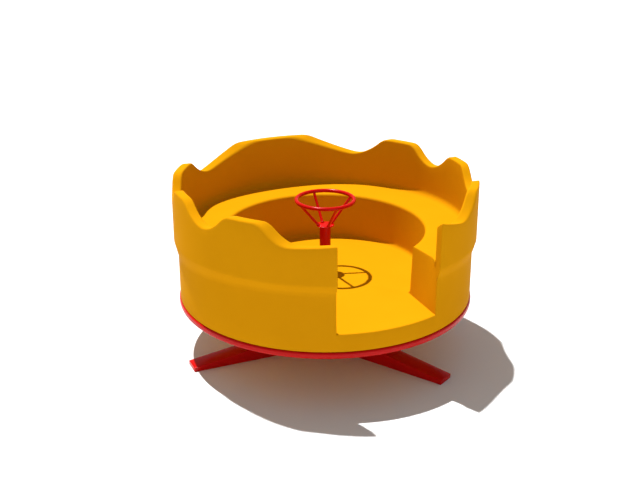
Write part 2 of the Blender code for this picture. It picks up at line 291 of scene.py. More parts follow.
# %% [markdown]
# ## Turned acetal
#
# The bush round the post is turned from black acetal rod. The lathe leaves fine rings round the axis,
# which catch the light as a soft satin band. A noise stretched flat along the rings would need its own
# coordinates, so a wave pattern with its rings round the axis draws them instead, 2 mm from ring to ring:
# as a bump, and as a paler tone on the rings that is painted sheen. The real ones are finer than a pixel.

# %% Black acetal
BLACK_MAIN = "17181A"
# The paler of these two blacks is painted sheen: the rings catching the light.
BLACK_RING_SHEEN = "232426"
TURNING_RING_MM = 2.0
TURNING_RING_DEPTH = 0.0003
WAVE_TURN = 20.0    # radians by which the wave node's rings advance for each unit of its scaled place


def turned_acetal():
    material, tree, shader, place = new_surface("acetal_turned_black", IOR=1.48, Roughness=0.38)
    rings = add_node(
        tree, "ShaderNodeTexWave", {"wave_type": "RINGS", "rings_direction": "Z"},
        Vector=place, Scale=per_metre(TURNING_RING_MM) * 2 * math.pi / WAVE_TURN, Distortion=0.4)
    # The rings mix in the paler black, a painted sheen along each ring.
    tones = add_node(tree, "ShaderNodeMix", {"data_type": "RGBA"}, Factor=rings.outputs["Fac"])
    tones.inputs[COLOUR_A].default_value = hex_colour(BLACK_MAIN)
    tones.inputs[COLOUR_B].default_value = hex_colour(BLACK_RING_SHEEN)
    tree.links.new(tones.outputs[COLOUR_RESULT], shader.inputs["Base Color"])
    bump = add_node(
        tree, "ShaderNodeBump", Height=rings.outputs["Fac"], Strength=0.15, Distance=TURNING_RING_DEPTH)
    tree.links.new(bump.outputs["Normal"], shader.inputs["Normal"])
    return material


BLACK = turned_acetal()
print("made", BLACK.name)

# %% [markdown]
# ## Studio floor
#
# A sheet of matt pale grey studio paper. The key bleaches it to white, so only the carousel's shadow
# shows, and it throws less light back up under the wall's shoulder than white paper would. A faint mottle
# keeps the shadow from looking like a flat cut-out.

# %% Floor sheet
FLOOR_SIZE = 60.0
FLOOR_MAIN = "E2E2E2"
FLOOR_SOFT = "DEDEDE"
MOTTLE_MM = 400.0


def studio_paper():
    material, tree, shader, place = new_surface("studio_paper_matt", Roughness=0.9, Specular_IOR_Level=0.1)
    mottle = add_node(tree, "ShaderNodeTexNoise", Vector=place, Scale=per_metre(MOTTLE_MM), Detail=2.0)
    tones = add_node(tree, "ShaderNodeMix", {"data_type": "RGBA"}, Factor=mottle.outputs["Fac"])
    tones.inputs[COLOUR_A].default_value = hex_colour(FLOOR_SOFT)
    tones.inputs[COLOUR_B].default_value = hex_colour(FLOOR_MAIN)
    tree.links.new(tones.outputs[COLOUR_RESULT], shader.inputs["Base Color"])
    return material


floor_bm = bmesh.new()
bmesh.ops.create_grid(floor_bm, x_segments=1, y_segments=1, size=FLOOR_SIZE / 2)
floor_mesh = bpy.data.meshes.new("studio_floor")
floor_bm.to_mesh(floor_mesh)
floor_bm.free()
floor_mesh.materials.append(studio_paper())
studio_floor = bpy.data.objects.new("studio_floor", floor_mesh)
bpy.context.scene.collection.objects.link(studio_floor)
print("studio floor:", FLOOR_SIZE, "m across")

# %% [markdown]
# ## Helpers for shapes
#
# Most pieces here are turned, bent or welded, so a few helpers cover them. The first makes the points of
# a rounded corner in an outline, and with it a whole circle. The next spins an outline into a closed
# ring. The last finishes a mesh: normals out, smooth shading with sharp edges kept, a place on its moving
# body, and the nodes it stands for.

# %% Shape helpers
MERGE_DISTANCE = 0.00001


def arc(centre_r, centre_z, radius, start, stop, steps):
    """Points of a rounded corner in an outline of radius and height; 0 degrees is outwards, 90 is up."""
    points = []
    for step in range(steps + 1):
        angle = math.radians(start + (stop - start) * step / steps)
        points.append((centre_r + radius * math.cos(angle), centre_z + radius * math.sin(angle)))
    return points


def circle(centre_r, centre_z, radius, sides):
    """Points of a full circle in an outline, for a bent rod or a bead."""
    return arc(centre_r, centre_z, radius, 0, 360 - 360 / sides, sides - 1)


def spun(outline, steps, closed=True):
    """Turn an outline of (radius, height) points a full turn round the axis, as a bmesh."""
    bm = bmesh.new()
    verts = [bm.verts.new((r, 0.0, z)) for r, z in outline]
    edges = [bm.edges.new(pair) for pair in zip(verts, verts[1:])]
    if closed:
        edges.append(bm.edges.new((verts[-1], verts[0])))
    bmesh.ops.spin(
        bm, geom=[*verts, *edges], cent=(0, 0, 0), axis=(0, 0, 1), dvec=(0, 0, 0),
        angle=2 * math.pi, steps=steps, use_merge=True, use_duplicate=False)
    bmesh.ops.remove_doubles(bm, verts=bm.verts, dist=MERGE_DISTANCE)
    return bm


def finished(name, bm, body, material, stands_for=(), sharp_degrees=38):
    """Make a bmesh a piece of the carousel."""
    bmesh.ops.recalc_face_normals(bm, faces=bm.faces)
    open_edges = sum(1 for edge in bm.edges if not edge.is_manifold)
    mesh = bpy.data.meshes.new(name)
    bm.to_mesh(mesh)
    bm.free()
    mesh.shade_smooth()
    mesh.set_sharp_from_angle(angle=math.radians(sharp_degrees))
    mesh.materials.append(material)
    piece = bpy.data.objects.new(name, mesh)
    bpy.context.scene.collection.objects.link(piece)
    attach(piece, body)
    if stands_for:
        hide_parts(*stands_for)
    print(f"{name}: {len(mesh.polygons)} faces, {open_edges} open edges")


print("points of a rounded corner:", [(round(r, 3), round(z, 3)) for r, z in arc(0, 0, 1, 0, 90, 2)])

# %% [markdown]
# ## Tub: the outline
#
# The tub is one moulding: floor, ring bench, wall and crown rim in a single skin. Its cross-section is
# the same nearly all the way round, so it is drawn once, as a chain of straight runs and arcs, because a
# mould has no sharp corners. The drawing has two parts. The upper part, bench and wall, is missing at the
# doorway. The lower part, floor and skirt, runs all the way round. The two share the line of the floor.

# %% Outline of the tub
FLOOR_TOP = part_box("tub_floor")[1].z
FLOOR_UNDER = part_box("tub_floor")[0].z
TUB_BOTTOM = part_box("door_sill")[0].z
WALL_FOOT_RADIUS = -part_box("door_sill")[0].y
SEAT_TOP = next(m["pos_m"][2] for m in frame["record"]["mounts"] if m["name"] == "seat_top")
CROWN_RADIUS = 0.7694
WALL_INNER_RADIUS = 0.723
BENCH_RADIUS = 0.5085
NOSE_ROUNDING = 0.015
SEAT_FILLET = 0.034
RISER_FILLET = 0.022
RIM_ROUNDING = 0.010
SILL_ROUNDING = 0.006
SHOULDER_LOW = 0.5375
SHOULDER_HIGH = 0.6275
SHOULDER_SOFTNESS = 0.014
RIM_VALLEY = 0.8325
HOLE_RADIUS = 0.034
NOSE_STEPS = 7
SEAT_STEPS = 8
RIM_STEPS = 6
SILL_STEPS = 4
FOOT = (BENCH_RADIUS - RISER_FILLET, FLOOR_TOP)
SILL = (WALL_FOOT_RADIUS, FLOOR_TOP - SILL_ROUNDING)


def upper_outline():
    """From the foot of the bench's riser, over seat and rim, down to the sill's height outside."""
    nose, back, r = BENCH_RADIUS + NOSE_ROUNDING, WALL_INNER_RADIUS - SEAT_FILLET, RIM_ROUNDING
    points = arc(FOOT[0], FLOOR_TOP + RISER_FILLET, RISER_FILLET, -90, 0, NOSE_STEPS)
    points += arc(nose, SEAT_TOP - NOSE_ROUNDING, NOSE_ROUNDING, 180, 90, NOSE_STEPS)
    points += arc(back, SEAT_TOP + SEAT_FILLET, SEAT_FILLET, -90, 0, SEAT_STEPS)
    points += arc(WALL_INNER_RADIUS + r, RIM_VALLEY - r, r, 180, 90, RIM_STEPS)
    points += arc(CROWN_RADIUS - r, RIM_VALLEY - r, r, 90, 0, RIM_STEPS)
    points += [(CROWN_RADIUS, SHOULDER_HIGH + SHOULDER_SOFTNESS), (CROWN_RADIUS, SHOULDER_HIGH)]
    points += [(WALL_FOOT_RADIUS, SHOULDER_LOW), (WALL_FOOT_RADIUS, SHOULDER_LOW - SHOULDER_SOFTNESS)]
    return [*points, SILL]


def floor_outline():
    """Floor and sill across the doorway, from the riser's foot to the sill's height outside."""
    return [FOOT, *arc(WALL_FOOT_RADIUS - SILL_ROUNDING, SILL[1], SILL_ROUNDING, 90, 0, SILL_STEPS)]


def lower_outline():
    """Outer wall below the sill, underside, and the floor up to the riser's foot."""
    r = SILL_ROUNDING
    return [
        SILL, *arc(WALL_FOOT_RADIUS - r, TUB_BOTTOM + r, r, 0, -90, SILL_STEPS),
        (WALL_INNER_RADIUS, TUB_BOTTOM), (WALL_INNER_RADIUS, FLOOR_UNDER),
        (HOLE_RADIUS, FLOOR_UNDER), (HOLE_RADIUS, FLOOR_TOP), FOOT]


print("points in the outlines:", len(upper_outline()), len(floor_outline()), len(lower_outline()))

# %% [markdown]
# ## Tub: the flat section
#
# The section becomes two flat faces in the plane of the doorway's middle. The upper face is sliced into a
# grid with bisect_plane, because it will close the bench and wall at the doorway, and that side is not
# flat on the real tub: it needs points inside to follow its curve. Each point on the upper outline also
# notes which way is out. Near the doorway the outline will shrink against that direction, ring by ring,
# which gives the moulding its rounded edge there. The rounding fades out where it meets the floor.

# %% Section of the tub
CAP_GRID = 0.038
CAP_ROWS = 10
CAP_COLUMNS = 6
ROUNDING_FADE = 0.022
OUTLINE_PULL = 0.5    # the outward unit vectors of an outline point's edges add up to more than this


def smooth_step(share):
    """Share from 0 to 1 with soft ends."""
    share = min(max(share, 0.0), 1.0)
    return share * share * (3.0 - 2.0 * share)


def spot(point):
    """Place of an outline point to a hundredth of a millimetre, the same in every outline that has it."""
    return (round(point[0], 5), round(point[1], 5))


section = bmesh.new()
is_upper = section.faces.layers.int.new("upper")
outward = section.verts.layers.float_vector.new("outward")
points_made = {}
for point in upper_outline() + floor_outline() + lower_outline():
    if spot(point) not in points_made:
        points_made[spot(point)] = section.verts.new((0.0, -point[0], point[1]))


def section_face(points):
    """Flat face of the section inside an outline."""
    return section.faces.new([points_made[spot(point)] for point in points])


upper_face = section_face(upper_outline() + floor_outline()[-2:0:-1])
upper_face[is_upper] = 1
lower_face = section_face(floor_outline() + lower_outline()[1:-1])
cuts = [((0, 0, FLOOR_TOP + CAP_GRID * row), (0, 0, 1)) for row in range(1, CAP_ROWS + 1)]
cuts += [((0, -BENCH_RADIUS - CAP_GRID * column, 0), (0, 1, 0)) for column in range(1, CAP_COLUMNS + 1)]
for plane_point, plane_normal in cuts:
    upper_faces = [face for face in section.faces if face[is_upper]]
    geometry = {item for face in upper_faces for item in (face, *face.edges, *face.verts)}
    bmesh.ops.bisect_plane(
        section, geom=list(geometry), dist=MERGE_DISTANCE, plane_co=plane_point, plane_no=plane_normal)
section.normal_update()

for vert in section.verts:
    if not any(face[is_upper] for face in vert.link_faces):
        continue
    out = Vector()
    for edge in vert.link_edges:
        if len(edge.link_faces) == 1:
            loop = edge.link_loops[0]
            along = loop.link_loop_next.vert.co - loop.vert.co
            out += along.cross(loop.face.normal).normalized()
    ends = [Vector((0.0, -r, z)) for r, z in (FOOT, SILL)]
    to_floor = min((vert.co - end).length for end in ends)
    if out.length > OUTLINE_PULL:
        vert[outward] = out.normalized() * smooth_step(to_floor / ROUNDING_FADE)
print("section:", len(section.verts), "points,", len(section.faces), "faces")

# %% [markdown]
# ## Tub: spinning the section
#
# Spin turns the whole section from one side of the doorway round to the other. Both ends stay closed by
# the section's own faces. A second spin takes only the lower face on across the doorway, to where the
# first began. There the two meeting faces are deleted and the points merged, so the tub is one closed
# skin. Every ring is still evenly spaced now. The next step moves the rings where they belong.

# %% Spin
ROUND_RINGS = 4
BLEND_RINGS = 22
PLAIN_RINGS = 132
MAIN_RINGS = 2 * (ROUND_RINGS + BLEND_RINGS + PLAIN_RINGS)
DOOR_RINGS = 24
ALL_RINGS = MAIN_RINGS + DOOR_RINGS


def spin_on(bm, geometry, rings):
    """Spin a face on by this many rings and return what the spin ends with."""
    return bmesh.ops.spin(
        bm, geom=geometry, cent=(0, 0, 0), axis=(0, 0, 1), dvec=(0, 0, 0),
        angle=2 * math.pi * rings / ALL_RINGS, steps=rings, use_merge=False)["geom_last"]


last = spin_on(section, [*section.verts, *section.edges, *section.faces], MAIN_RINGS)
last_lower = next(item for item in last if isinstance(item, bmesh.types.BMFace) and not item[is_upper])
last = spin_on(section, [last_lower, *last_lower.edges, *last_lower.verts], DOOR_RINGS)
closing = [item for item in last if isinstance(item, bmesh.types.BMFace)]
bmesh.ops.delete(section, geom=[lower_face, *closing], context="FACES_ONLY")
bmesh.ops.remove_doubles(section, verts=section.verts, dist=MERGE_DISTANCE)
open_count = sum(1 for edge in section.edges if not edge.is_manifold)
print("tub:", len(section.verts), "points,", open_count, "open edges")

# %% [markdown]
# ## Tub: doorway sides, crown and shoulder
#
# Three things break the roundness. The doorway's sides are nearly upright planes at the wall, but they
# turn outwards along the bench, more at the seat than at the floor. The crown rim rises and falls in
# waves, which run across the wall from side to side more than straight out from the middle, so behind
# and in front the rim's top twists. The wall's shoulder, where it widens, runs highest on the doorway's
# left, lower on its right and lowest behind. Each is a small formula of angle, radius and height, so
# every point can be asked where it belongs.

# %% Formulas for the doorway, the crown and the shoulder
DOOR_HALF_WIDTH = 0.2565
JAMB_LEAN = 0.0137
BENCH_END_FLOOR = (0.264, -0.027, 0.400)    # half width, its change per metre outwards, from this depth
BENCH_END_SEAT = (0.2775, 0.085, 0.427)
ANGLE_PASSES = 6    # rounds in which a circle's meeting with the doorway side settles
WALL_BLEND_START = 0.600
WALL_BLEND_WIDTH = 0.075
RIM_PEAK = cad_high.z
RIGHT_PEAKS = ((48.3, 61.0), (80.0, 92.2), (113.4, 127.6), (163.0, 180.0))    # start and stop, in degrees
RIGHT_VALLEYS = ((34.5, 0.0), (70.0, 0.0085), (103.5, 0.0095), (141.2, 0.006))    # angle and height
LEFT_PEAKS = ((47.3, 60.5), (84.0, 95.0), (114.5, 129.0), (163.0, 180.0))
LEFT_VALLEYS = ((37.0, 0.004), (71.5, 0.011), (105.0, 0.0085), (142.0, 0.0105))
RIGHT_JAMB_LIFT = 0.051
LEFT_JAMB_LIFT = 0.0125
JAMB_ANGLE = 19.5
JAMB_POWER = 1.25
RAMP_POWER = 1.9
REAR_RAMP_POWER = 1.35
CROWN_LEAN_REAR = 0.65
CROWN_LEAN_FRONT = 1.0
CORNER_WINDOW = (-1.6, -0.8, 0.0, 0.8, 1.6)    # degrees
SWELL_ANGLE = -40.0
SWELL_LOW = 0.075
SWELL_HIGH = 0.030
SWELL_SLACK = 0.5    # share of the angle that counts towards the doorway, where the swell fades slowly


def door_edge(depth, z):
    """Distance of a doorway side from the middle, at a depth towards -Y and a height."""
    floor_x = BENCH_END_FLOOR[0] + BENCH_END_FLOOR[1] * (depth - BENCH_END_FLOOR[2])
    seat_x = BENCH_END_SEAT[0] + BENCH_END_SEAT[1] * (depth - BENCH_END_SEAT[2])
    up = min(max((z - FLOOR_TOP) / (SEAT_TOP - FLOOR_TOP), 0.0), 1.0)
    bench_x = floor_x + (seat_x - floor_x) * up
    wall_x = DOOR_HALF_WIDTH + JAMB_LEAN * max(z - FLOOR_TOP, 0.0)
    return bench_x + (wall_x - bench_x) * smooth_step((depth - WALL_BLEND_START) / WALL_BLEND_WIDTH)


def end_angle(r, z):
    """Angle in degrees at which a circle of this radius meets the doorway side."""
    r = max(r, FOOT[0])
    x = DOOR_HALF_WIDTH
    for _ in range(ANGLE_PASSES):
        x = door_edge(math.sqrt(r * r - x * x), z)
    return math.degrees(math.asin(x / r))


def crown_wave(degrees, radius):
    """Height of the rim over its lowest valley. The waves are cut nearly straight across the wall."""
    peaks, valleys, lift = RIGHT_PEAKS, RIGHT_VALLEYS, RIGHT_JAMB_LIFT
    if degrees < 0.0:
        peaks, valleys, lift = LEFT_PEAKS, LEFT_VALLEYS, LEFT_JAMB_LIFT
    towards_front = (1.0 + math.cos(math.radians(degrees))) / 2.0
    lean = CROWN_LEAN_REAR + (CROWN_LEAN_FRONT - CROWN_LEAN_REAR) * towards_front
    cut_radius = CROWN_RADIUS - lean * (CROWN_RADIUS - radius)
    across = cut_radius * math.cos(math.radians(degrees)) / CROWN_RADIUS
    angle = math.degrees(math.acos(min(max(across, -1.0), 1.0)))
    valley, low = valleys[0]
    if angle <= valley:
        return low + lift * ((valley - angle) / (valley - JAMB_ANGLE)) ** JAMB_POWER
    rise = RIM_PEAK - RIM_VALLEY
    last_peak = len(peaks) - 1
    for index, (start, stop) in enumerate(peaks):
        valley, low = valleys[index]
        if angle < start:
            power = REAR_RAMP_POWER if index == last_peak else RAMP_POWER
            return low + (rise - low) * ((angle - valley) / (start - valley)) ** power
        if angle <= stop or index == last_peak:
            return rise
        valley, low = valleys[index + 1]
        if angle <= valley:
            return low + (rise - low) * ((valley - angle) / (valley - stop)) ** RAMP_POWER
    return rise


def crown_height(degrees, radius):
    """The wave with its corners rounded: the mean of its heights a little to both sides."""
    heights = [crown_wave(degrees + offset, radius) for offset in CORNER_WINDOW]
    return sum(heights) / len(heights)


def shoulder_lift(degrees, z):
    """How far a point of the outer wall moves up so that the shoulder follows its swell."""
    from_middle = math.radians(degrees - SWELL_ANGLE)
    if from_middle > 0.0:
        from_middle *= SWELL_SLACK
    swell = max(0.0, math.cos(from_middle)) ** 2
    heights = (FLOOR_TOP, SHOULDER_LOW, SHOULDER_HIGH, SEAT_TOP + SEAT_FILLET)
    lifts = (0.0, SWELL_LOW, SWELL_HIGH, 0.0)
    for low, high, lift_low, lift_high in zip(heights, heights[1:], lifts, lifts[1:]):
        if low <= z <= high:
            return swell * (lift_low + (lift_high - lift_low) * (z - low) / (high - low))
    return 0.0


for height_name, height in (("floor", FLOOR_TOP), ("rim", RIM_VALLEY)):
    print("doorway side at the", height_name, round(end_angle(WALL_INNER_RADIUS, height), 2), "degrees")

# %% [markdown]
# ## Tub: every ring in its place
#
# The first rings at each side of the doorway make the rounded edge: a quarter circle of 5 mm, on which
# the outline shrinks as it nears the opening. The next ones fan out from the doorway's slanting side to
# a plain upright plane at 48 degrees, and from there the rings are evenly spaced. A point finds its ring
# from its angle on the evenly spun tub.

# %% Place the rings
END_ROUNDING = 0.005
FIRST_PLAIN = 48.0
PLAIN_STEP = (180.0 - FIRST_PLAIN) / PLAIN_RINGS
STRETCH_START = SEAT_TOP + SEAT_FILLET
STRETCH_STOP = RIM_VALLEY - RIM_ROUNDING
OUTSIDE_MARGIN = 0.001    # a point this near to the wall's foot radius is still outside


def edge_turn(from_end):
    """Turn of a ring on the quarter circle of the doorway's edge, a right angle at the opening."""
    return math.radians(90.0) * (1.0 - min(from_end / ROUND_RINGS, 1.0))


def ring_angle(ring, r, z):
    """Angle of a point on a ring, in degrees from the doorway's middle."""
    if ring > MAIN_RINGS:
        return end_angle(r, z) * (2.0 * (ring - MAIN_RINGS) / DOOR_RINGS - 1.0)
    from_end = min(ring, MAIN_RINGS - ring)
    side = 1.0 if ring <= MAIN_RINGS // 2 else -1.0
    if from_end > ROUND_RINGS + BLEND_RINGS:
        return side * (FIRST_PLAIN + (from_end - ROUND_RINGS - BLEND_RINGS) * PLAIN_STEP)
    turn = edge_turn(from_end)
    start = end_angle(r, z) + math.degrees(END_ROUNDING * (1.0 - math.sin(turn)) / max(r, FOOT[0]))
    share = max(from_end - ROUND_RINGS, 0) / BLEND_RINGS
    return side * (start + (FIRST_PLAIN - start) * share)


for vert in section.verts:
    spun_turn = math.atan2(vert.co.x, -vert.co.y) / (2 * math.pi) * ALL_RINGS
    ring = round(spun_turn) % ALL_RINGS
    r = math.hypot(vert.co.x, vert.co.y)
    z = vert.co.z
    outside = r > WALL_FOOT_RADIUS - OUTSIDE_MARGIN and z > FLOOR_TOP
    from_end = min(ring, MAIN_RINGS - ring)
    if 0 <= from_end < ROUND_RINGS:
        shrink = END_ROUNDING * (1.0 - math.cos(edge_turn(from_end)))
        r += vert[outward].y * shrink
        z -= vert[outward].z * shrink
    degrees = ring_angle(ring, r, z)
    stretch = min(max((z - STRETCH_START) / (STRETCH_STOP - STRETCH_START), 0.0), 1.0)
    lift = shoulder_lift(degrees, z) if outside else 0.0
    vert.co = direction(degrees) * r + Vector((0, 0, z + lift + crown_height(degrees, r) * stretch))

tub_nodes = [
    name for name in frame["nodes"]
    if name.startswith(("wall_", "bench_")) or name in ("tub_floor", "door_sill")]
finished("tub_shell", section, "turntable", YELLOW, tub_nodes)

# %% [markdown]
# ## Underside and turntable rim
#
# The moulded tub is closed below by a flat skin of the same plastic, so the light under it turns yellow.
# Round its edge runs the turntable's rolled rim: a bent bar, flat inside and rounded by 10 mm at both
# outer corners, so that it is nearly half round. Its upper half looks up at the tub and stays dark, and
# its lower half catches the floor's light, so it shows as a dark line over a pale one all round. Both are
# turned shapes, so an outline and a full spin make them.

# %% Underside and rim
RIM_RADIUS = 0.7559
BAR_DEPTH = 0.0115
BAR_ROUNDING = 0.010
BAR_STEPS = 6
TUB_SPIN_STEPS = 240
rim_low, rim_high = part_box("turntable_rim")
underside_low, underside_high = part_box("tub_underside")
rim_inner = RIM_RADIUS - BAR_DEPTH
corner = RIM_RADIUS - BAR_ROUNDING
bar = spun([
    (rim_inner, rim_high.z), *arc(corner, rim_high.z - BAR_ROUNDING, BAR_ROUNDING, 90, 0, BAR_STEPS),
    *arc(corner, rim_low.z + BAR_ROUNDING, BAR_ROUNDING, 0, -90, BAR_STEPS), (rim_inner, rim_low.z)],
    TUB_SPIN_STEPS)
finished("turntable_rolled_rim", bar, "turntable", RED, ["turntable_rim"])
skin = spun([
    (rim_inner, underside_low.z), (rim_inner, underside_high.z),
    (HOLE_RADIUS, underside_high.z), (HOLE_RADIUS, underside_low.z)], TUB_SPIN_STEPS)
finished("tub_underside_skin", skin, "turntable", YELLOW, ["tub_underside"])

# %% [markdown]
# ## Ribs
#
# Six flat rectangular tubes run from the bearing housing to the rim and carry the tub. Such a tube has
# corners with a small radius, so each rib is a cube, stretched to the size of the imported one, with
# rounded edges, and turned to its place. The legs and the hub get their rounding from the same helper.

# %% Ribs under the tub
RIB_CORNER = 0.004
RIB_COUNT = 6
RIB_FIRST_ANGLE = 30.0
RIB_WIDTH = 0.040
RIB_LIFT = 0.001    # from the rim's lower edge to the rib's
RIB_CLEARANCE = 0.0002    # from the rib to the tub's underside
HOUSING_FLANGE_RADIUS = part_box("bearing_housing")[1].x


def round_edges(bm, edges, size, segments=3):
    """Bevel these edges of a bmesh."""
    bmesh.ops.bevel(
        bm, geom=edges, offset=size, offset_type="OFFSET", affect="EDGES", segments=segments,
        profile=0.5, material=-1, clamp_overlap=True)


def turn_to(bm, degrees):
    """Turn a piece that lies towards the doorway to its angle round the axis."""
    turn = Matrix.Rotation(math.radians(degrees), 3, "Z")
    bmesh.ops.rotate(bm, verts=bm.verts, cent=(0, 0, 0), matrix=turn)


def rib_bar(size, centre, degrees):
    """Rectangular tube with rounded edges, turned to its place between the housing and the rim."""
    bm = bmesh.new()
    place = Matrix.Translation(centre) @ Matrix.Diagonal((*size, 1.0))
    bmesh.ops.create_cube(bm, size=1.0, matrix=place)
    round_edges(bm, list(bm.edges), RIB_CORNER)
    turn_to(bm, degrees)
    return bm


rib_under = rim_low.z + RIB_LIFT
rib_top = underside_low.z - RIB_CLEARANCE
rib_length = rim_inner - HOUSING_FLANGE_RADIUS
rib_size = (RIB_WIDTH, rib_length, rib_top - rib_under)
rib_centre = (0.0, -HOUSING_FLANGE_RADIUS - rib_length / 2, (rib_top + rib_under) / 2)
for number in range(RIB_COUNT):
    rib = rib_bar(rib_size, rib_centre, RIB_FIRST_ANGLE + 360.0 * number / RIB_COUNT)
    rib_nodes = [f"turntable_rib_{number + 1}"]
    finished(f"turntable_tube_{number + 1}", rib, "turntable", RED, rib_nodes)

# %% [markdown]
# ## Bearing housing
#
# The housing is a turned steel sleeve with a flange that is bolted up against the tub. It is a lathe
# part: straight runs with a small chamfer at each corner. Its hexagon bolts are M10, 17 mm across flats,
# and hang from the flange. Each head is a cone with six sides and equal ends, with the edges of its free
# end bevelled, and a loop sets the heads on the bolt circle.

# %% Housing and its bolts
CHAMFER = 0.0015
BOLT_ACROSS_FLATS = 0.017
BOLT_HEAD = 0.0064
BOLT_CHAMFER = 0.0012
BOLT_COUNT = 6
RUNNING_GAP = 0.0007
HOUSING_RADIUS = 0.085
FLANGE_THICKNESS = 0.010
TURNED_STEPS = 96
housing_low, housing_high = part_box("bearing_housing")
post_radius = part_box("centre_post")[1].x
bore = post_radius + RUNNING_GAP
flange_under = housing_high.z - FLANGE_THICKNESS


def chamfered(points, size):
    """Cut each corner of a closed outline of (radius, height) points by a small chamfer."""
    cut = []
    for index, here in enumerate(points):
        for other in (points[index - 1], points[(index + 1) % len(points)]):
            step = Vector(other) - Vector(here)
            cut.append(tuple(Vector(here) + step.normalized() * size))
    return cut


def add_bolts(bm, bolt_circle, height):
    """Hexagon bolt heads that hang from a face at this height, on a circle round the axis."""
    corner_radius = BOLT_ACROSS_FLATS / math.sqrt(3)
    for number in range(BOLT_COUNT):
        place = direction(360.0 * number / BOLT_COUNT) * bolt_circle
        place.z = height - BOLT_HEAD / 2
        made = bmesh.ops.create_cone(
            bm, cap_ends=True, segments=6, radius1=corner_radius, radius2=corner_radius, depth=BOLT_HEAD,
            matrix=Matrix.Translation(place))
        edges = {edge for vert in made["verts"] for edge in vert.link_edges}
        free_end = [edge for edge in edges if all(vert.co.z < place.z for vert in edge.verts)]
        round_edges(bm, free_end, BOLT_CHAMFER, segments=1)


housing = spun(chamfered([
    (bore, housing_low.z), (HOUSING_RADIUS, housing_low.z), (HOUSING_RADIUS, flange_under),
    (HOUSING_FLANGE_RADIUS, flange_under), (HOUSING_FLANGE_RADIUS, housing_high.z),
    (bore, housing_high.z)], CHAMFER), TURNED_STEPS)
add_bolts(housing, (HOUSING_RADIUS + HOUSING_FLANGE_RADIUS) / 2, flange_under)
finished(
    "bearing_housing_turned", housing, "turntable", RED, ["bearing_housing"], sharp_degrees=30)

# %% [markdown]
# ## Base: hub and legs
#
# Three legs of folded sheet lie on the ground and meet at a six-sided hub. Each leg tapers: its top runs
# down to the tip. A cube does for it: the corners go to the tip's and the root's heights, and a bevel
# rounds the folds. The hub is a cone with six sides and equal ends, rounded in the same way.

# %% Hub and legs
FOLD_RADIUS = 0.0022
LEG_TIP_HEIGHT = 0.0224
LEG_ANGLES = {"leg_left": -90.0, "leg_front": 30.0, "leg_rear": 150.0}
HUB_FLAT_RADIUS = 0.110    # from the axis to a flat side
leg_low, leg_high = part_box("leg_left")
leg_width = leg_high.y - leg_low.y
hub_low, hub_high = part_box("hub_block")


def leg_bar(degrees):
    """Leg that lies towards the doorway, low at its tip, turned to its angle."""
    bm = bmesh.new()
    bmesh.ops.create_cube(bm, size=1.0)
    for vert in bm.verts:
        at_tip = vert.co.y < 0
        top = LEG_TIP_HEIGHT if at_tip else leg_high.z
        vert.co.x *= leg_width
        vert.co.y = leg_low.x if at_tip else leg_high.x
        vert.co.z = top if vert.co.z > 0 else 0.0
    round_edges(bm, list(bm.edges), FOLD_RADIUS)
    turn_to(bm, degrees)
    return bm


for leg_name, leg_angle in LEG_ANGLES.items():
    finished(f"{leg_name}_folded", leg_bar(leg_angle), "base", RED, [leg_name])

hub = bmesh.new()
hub_radius = HUB_FLAT_RADIUS / math.cos(math.pi / 6)
bmesh.ops.create_cone(
    hub, cap_ends=True, segments=6, radius1=hub_radius, radius2=hub_radius, depth=hub_high.z,
    matrix=Matrix.Translation((0, 0, hub_high.z / 2)))
round_edges(hub, list(hub.edges), FOLD_RADIUS)
finished("hub_six_sided", hub, "base", RED, ["hub_block"])

# %% [markdown]
# ## Base: pedestal and weld beads
#
# The pedestal is a thick tube on the hub, with a turned flange on top that carries the post. A weld bead
# is a row of frozen ripples, drawn 4 mm apart, so it is a thin ring whose thickness swells and shrinks
# on its way round. Only the quarter in the corner between the tube and the plate shows, as on a real
# fillet weld.

# %% Pedestal, flange and beads
BEAD_SIZE = 0.004
BEAD_SIDES = 10
RIPPLE_STEP = 0.004
RIPPLE_SWELL = 0.10
STEPS_A_RIPPLE = 4
PEDESTAL_WALL = 0.008
PEDESTAL_CHAMFER = 0.0008
FLANGE_GRIP = 0.004    # how far the flange reaches into the post
pedestal_low, pedestal_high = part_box("pedestal_tube")
flange_low, flange_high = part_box("pedestal_flange")


def add_bead(bm, radius, height):
    """Weld bead round a tube of this radius, at this height."""
    ripples = round(2 * math.pi * radius / RIPPLE_STEP)
    bead = spun(circle(radius, height, BEAD_SIZE, BEAD_SIDES), ripples * STEPS_A_RIPPLE)
    for vert in bead.verts:
        turn = math.atan2(vert.co.y, vert.co.x)
        middle = Vector((math.cos(turn) * radius, math.sin(turn) * radius, height))
        vert.co = middle + (vert.co - middle) * (1.0 + RIPPLE_SWELL * math.cos(turn * ripples))
    mesh = bpy.data.meshes.new("bead")
    bead.to_mesh(mesh)
    bead.free()
    bm.from_mesh(mesh)
    bpy.data.meshes.remove(mesh)


def turned_ring(inner, outer, low, high, chamfer):
    """Ring with four chamfered corners."""
    corners = [(inner, low), (outer, low), (outer, high), (inner, high)]
    return spun(chamfered(corners, chamfer), TURNED_STEPS)


pedestal = turned_ring(
    pedestal_high.x - PEDESTAL_WALL, pedestal_high.x, pedestal_low.z, pedestal_high.z, PEDESTAL_CHAMFER)
add_bead(pedestal, pedestal_high.x, pedestal_low.z)
add_bead(pedestal, pedestal_high.x, pedestal_high.z)
finished("pedestal_tube_welded", pedestal, "base", RED, ["pedestal_tube"], sharp_degrees=50)
flange = turned_ring(post_radius - FLANGE_GRIP, flange_high.x, flange_low.z, flange_high.z, CHAMFER)
finished("pedestal_flange_turned", flange, "base", RED, ["pedestal_flange"], sharp_degrees=30)

# %% [markdown]
# ## Post and cap
#
# The post is a steel tube that stands still while the tub turns round it. Its cap is a thin turned disc,
# a little wider than the post, with a rounded edge that shows as a bright line. Both are spun outlines
# that reach the axis, where the spin's merged points close the pole.

